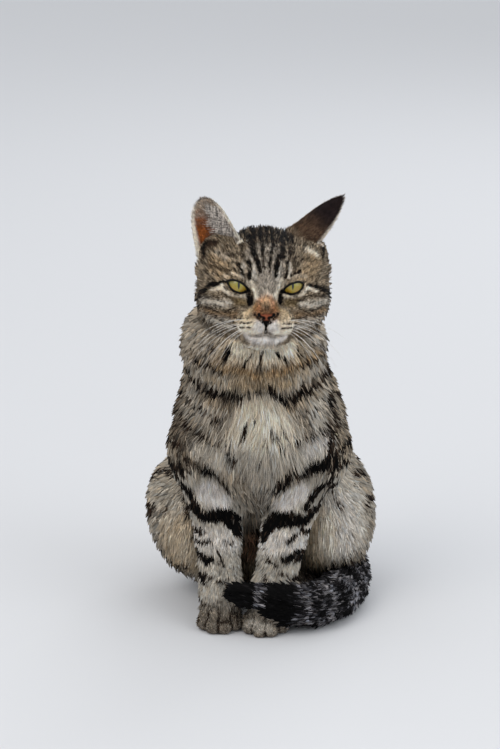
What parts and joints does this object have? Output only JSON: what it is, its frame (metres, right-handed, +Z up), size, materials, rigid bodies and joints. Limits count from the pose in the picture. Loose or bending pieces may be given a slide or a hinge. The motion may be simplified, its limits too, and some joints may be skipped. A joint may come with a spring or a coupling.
{
  "type": "cat",
  "caption": "Life-size still model of a brown tabby cat sitting upright, tail brought round its left side and laid over its forepaws.",
  "frame": {"origin": "under the middle of the model's box, on the floor", "axes": "+Z up; the cat faces -Y; +X is its own left side"},
  "size_m": [0.2004, 0.2588, 0.375],
  "materials": {
    "coat": "dense short fur, grey-brown with black tabby stripes",
    "coat_pale": "short fur, pale grey-buff with dark bands",
    "coat_dark": "short fur, nearly black",
    "nose_leather": "damp brick-pink skin",
    "eye": "wet and clear over a yellow-green iris with a slit pupil"
  },
  "bodies": {
    "root": {"head": "coat", "neck": "coat", "trunk": "coat", "nose": "nose_leather", "eye_right": "eye", "eye_left": "eye", "ear_right": "coat_dark", "ear_left": "coat_dark", "foreleg_right": "coat_pale", "foreleg_left": "coat_pale", "forepaw_right": "coat_pale", "forepaw_left": "coat_pale", "thigh_right": "coat", "thigh_left": "coat", "hind_foot_right": "coat_pale", "hind_foot_left": "coat_pale", "tail_1": "coat_dark", "tail_2": "coat_dark", "tail_3": "coat_dark", "tail_4": "coat_dark"}
  },
  "joints": []
}
